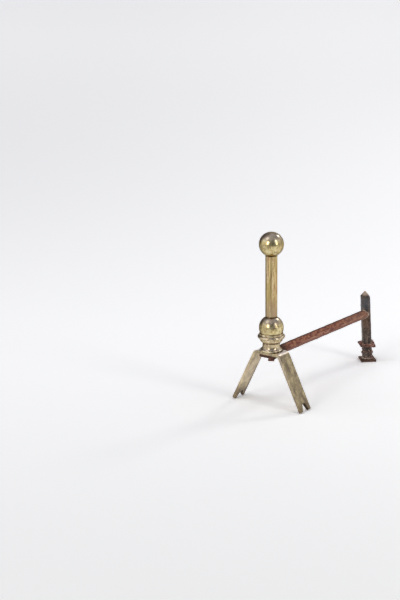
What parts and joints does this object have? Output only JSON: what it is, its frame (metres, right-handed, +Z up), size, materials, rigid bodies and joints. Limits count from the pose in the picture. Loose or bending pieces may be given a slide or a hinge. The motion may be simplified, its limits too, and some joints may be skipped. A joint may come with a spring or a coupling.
{
  "type": "andiron",
  "caption": "Fireplace andiron with a ball-topped turned brass column on splayed notched legs and a square iron log bar running back to a forged rear post.",
  "frame": {"origin": "on the hearth, in the middle of the footprint, where the middle plane of the andiron meets the floor", "axes": "+Y runs back along the log bar to the rear post, +X across the spread of the legs to the right seen from the front, +Z up"},
  "size_m": [0.2004, 0.484, 0.418],
  "materials": {
    "polished_brass": "aged polish with brown tarnish in the grooves",
    "tarnished_brass": "dull and mottled, brighter on worn edges",
    "dark_iron": "nearly black, oily and rough",
    "rusted_bar": "red-brown rust, matte",
    "fire_scaled_iron": "grey-black fire scale with rust stains",
    "rusted_plate": "brown rust, lumpy and matte"
  },
  "bodies": {
    "root": {"finial_ball": "polished_brass", "column": "polished_brass", "knop_ball": "polished_brass", "cup": "polished_brass", "pedestal": "polished_brass", "leg_strap": "tarnished_brass", "tie_rod": "dark_iron", "rod_nut": "dark_iron", "billet_bar": "rusted_bar", "rear_post": "fire_scaled_iron", "post_collar": "rusted_plate", "foot_plate": "rusted_plate"}
  },
  "joints": []
}
